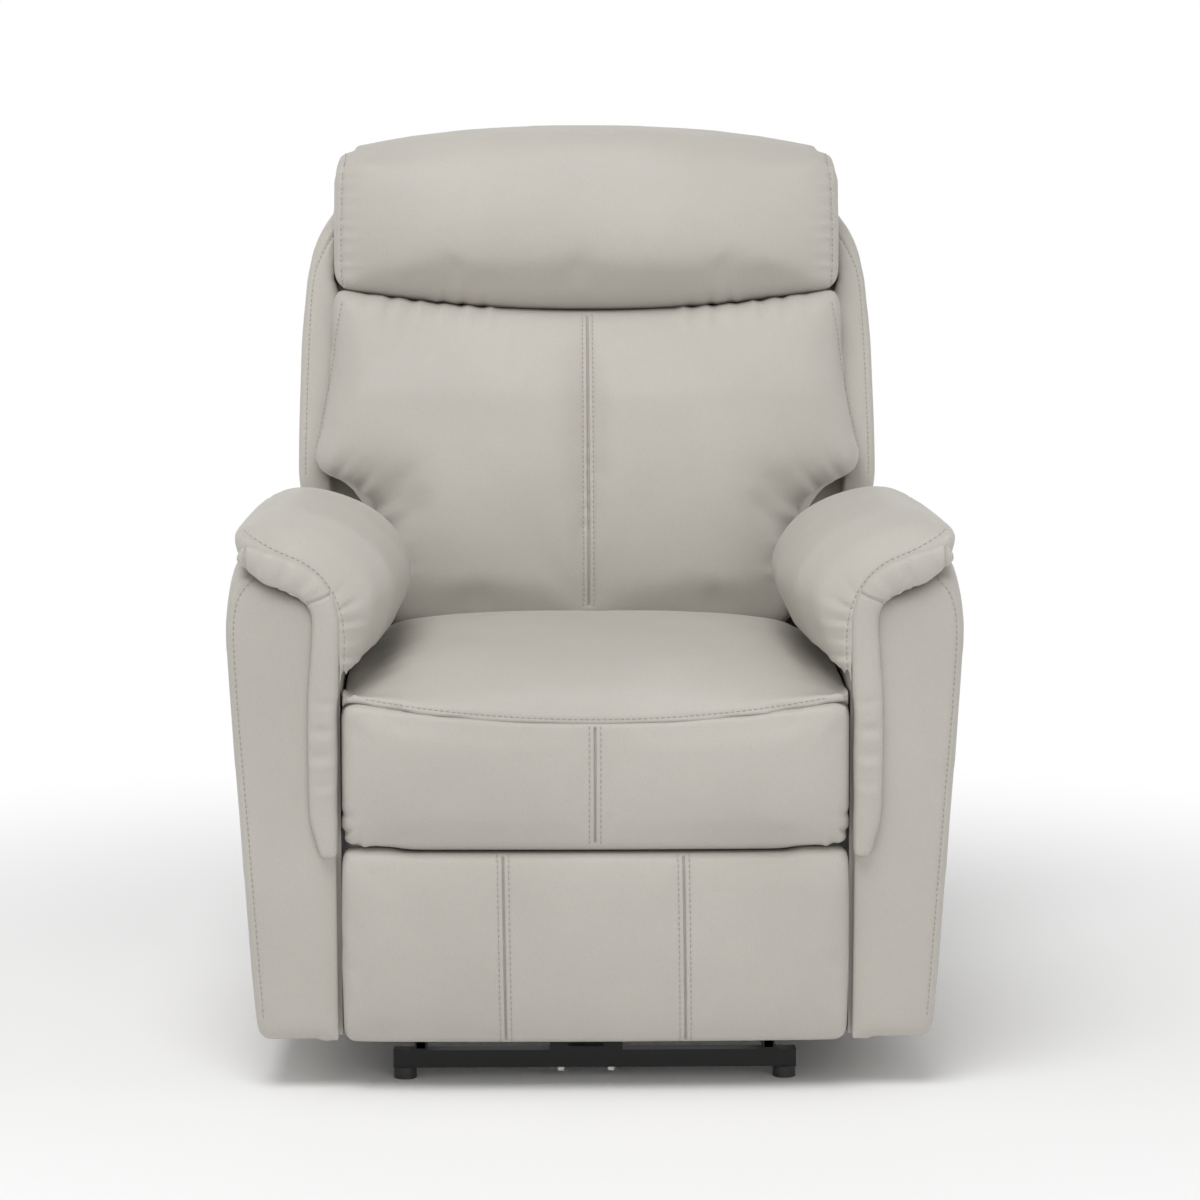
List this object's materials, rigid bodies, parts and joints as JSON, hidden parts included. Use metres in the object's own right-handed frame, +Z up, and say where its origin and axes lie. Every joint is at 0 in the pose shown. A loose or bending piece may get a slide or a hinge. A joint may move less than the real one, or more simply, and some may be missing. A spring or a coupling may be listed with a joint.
{
  "type": "power recliner chair",
  "caption": "Leather power recliner with padded arms, winged back and headrest, on a steel base; the footrest lifts on links and the back reclines as the seat slides forward.",
  "frame": {"origin": "floor level, midway between the arms and midway between the front and rear of the closed chair", "axes": "+Z up, -Y is the way a sitter faces, +X to the right of someone looking at the chair from the front"},
  "size_m": [0.82, 0.8998, 1.085],
  "materials": {
    "upholstery": "soft matt grain",
    "frame_wood": "raw plywood",
    "black_cloth": "woven",
    "black_plastic": "matt",
    "plain_steel": "zinc plated",
    "black_steel": "satin black powder coat"
  },
  "bodies": {
    "base": {"base_front_crossbar": "black_steel", "base_rear_crossbar": "black_steel", "base_side_rails": "black_steel", "base_pivot_studs": "plain_steel", "base_feet": "black_plastic", "motor_bracket": "black_steel", "motor_bracket_bolts": "plain_steel", "recline_motor": "black_plastic", "recline_motor_pin": "plain_steel", "recline_rail": "black_steel", "recline_screw": "plain_steel", "recline_rail_clip": "black_plastic", "power_inlet": "black_plastic", "arm_frames": "frame_wood", "arm_panel_left": "upholstery", "arm_panel_right": "upholstery", "arm_pad_left": "upholstery", "arm_pad_right": "upholstery", "arm_gussets": "upholstery", "arm_brackets": "black_steel", "back_guide_plates": "black_steel", "switch_plate": "black_plastic"},
    "front_links": {"front_swing_links": "black_steel"},
    "rear_links": {"rear_swing_links": "black_steel"},
    "recline_drive": {"recline_slider": "black_plastic"},
    "seat": {"seat_side_plates": "black_steel", "seat_pivot_studs": "plain_steel", "seat_cross_tubes": "black_steel", "back_pivot_axle": "black_steel", "recline_yoke": "black_steel", "footrest_rail": "black_steel", "footrest_screw": "plain_steel", "footrest_motor": "black_plastic", "footrest_rail_hanger": "black_steel", "seat_boards": "frame_wood", "seat_webbing": "black_cloth", "seat_cushion": "upholstery", "seat_front_panel": "upholstery"},
    "lift_links": {"footrest_lift_links": "black_steel"},
    "cross_links": {"footrest_cross_links": "black_steel"},
    "toe_links": {"footrest_toe_links": "black_steel"},
    "control_links": {"footrest_control_links": "black_steel", "footrest_drive_tube": "black_steel"},
    "footrest": {"footrest_brackets": "black_steel", "footrest_board": "frame_wood", "footrest_pad": "upholstery"},
    "footrest_drive": {"footrest_slider": "black_plastic"},
    "back": {"back_brackets": "black_steel", "back_stiles": "frame_wood", "back_rails": "frame_wood", "back_lower_panel": "black_cloth", "back_shell": "upholstery", "back_wing_left": "upholstery", "back_wing_right": "upholstery", "lumbar_cushion": "upholstery", "back_cushion": "upholstery", "headrest_cushion": "upholstery"},
    "footrest_switch": {"footrest_rocker": "black_plastic"},
    "recline_switch": {"recline_rocker": "black_plastic"}
  },
  "joints": [
    {"name": "front_swing", "type": "hinge", "parent": "base", "child": "front_links", "pos_m": [0, -0.19, 0.09512], "axis": [1, 0, 0], "range_deg": [0, 34]},
    {"name": "seat_level", "type": "hinge", "parent": "front_links", "child": "seat", "pos_m": [0, -0.14907, 0.229], "axis": [1, 0, 0], "range_deg": [-34, 0]},
    {"name": "rear_swing", "type": "hinge", "parent": "base", "child": "rear_links", "pos_m": [0, 0.02, 0.09512], "axis": [1, 0, 0], "range_deg": [0, 34]},
    {"name": "recline", "type": "hinge", "parent": "seat", "child": "back", "pos_m": [0, 0.135, 0.3], "axis": [-1, 0, 0], "range_deg": [0, 40]},
    {"name": "recline_slide", "type": "slide", "parent": "base", "child": "recline_drive", "axis": [0, -1, 0], "range_m": [0, 0.08186]},
    {"name": "footrest", "type": "hinge", "parent": "seat", "child": "lift_links", "pos_m": [0, -0.32, 0.216], "axis": [-1, 0, 0], "range_deg": [0, 97]},
    {"name": "cross_fold", "type": "hinge", "parent": "lift_links", "child": "cross_links", "pos_m": [0, -0.32784, 0.12634], "axis": [1, 0, 0], "range_deg": [0, 155]},
    {"name": "toe_fold", "type": "hinge", "parent": "lift_links", "child": "toe_links", "pos_m": [0, -0.33429, 0.05262], "axis": [1, 0, 0], "range_deg": [0, 155]},
    {"name": "panel_fold", "type": "hinge", "parent": "cross_links", "child": "footrest", "pos_m": [0, -0.3443, 0.26034], "axis": [-1, 0, 0], "range_deg": [0, 155]},
    {"name": "control_swing", "type": "hinge", "parent": "seat", "child": "control_links", "pos_m": [0, -0.2457, 0.2556], "axis": [-1, 0, 0], "range_deg": [0, 72.9]},
    {"name": "footrest_slide", "type": "slide", "parent": "seat", "child": "footrest_drive", "axis": [0, -1, 0], "range_m": [0, 0.09268]},
    {"name": "footrest_key", "type": "hinge", "parent": "base", "child": "footrest_switch", "pos_m": [-0.40409, -0.217, 0.3947], "axis": [-0.0736, 0, 0.9973], "range_deg": [-6, 6], "stiffness_Nm_per_rad": 0.2},
    {"name": "recline_key", "type": "hinge", "parent": "base", "child": "recline_switch", "pos_m": [-0.40409, -0.183, 0.3947], "axis": [-0.0736, 0, 0.9973], "range_deg": [-6, 6], "stiffness_Nm_per_rad": 0.2}
  ],
  "couplings": [
    {"joint": "front_swing", "follows": "recline", "ratio": 0.85},
    {"joint": "seat_level", "follows": "recline", "ratio": -0.85},
    {"joint": "rear_swing", "follows": "recline", "ratio": 0.85},
    {"joint": "recline_slide", "follows": "recline", "m_per_rad": 0.11726},
    {"joint": "cross_fold", "follows": "footrest", "ratio": 1.5979},
    {"joint": "toe_fold", "follows": "footrest", "ratio": 1.5979},
    {"joint": "panel_fold", "follows": "footrest", "ratio": 1.5979},
    {"joint": "control_swing", "follows": "footrest", "ratio": 0.75155},
    {"joint": "footrest_slide", "follows": "footrest", "m_per_rad": 0.054746}
  ]
}
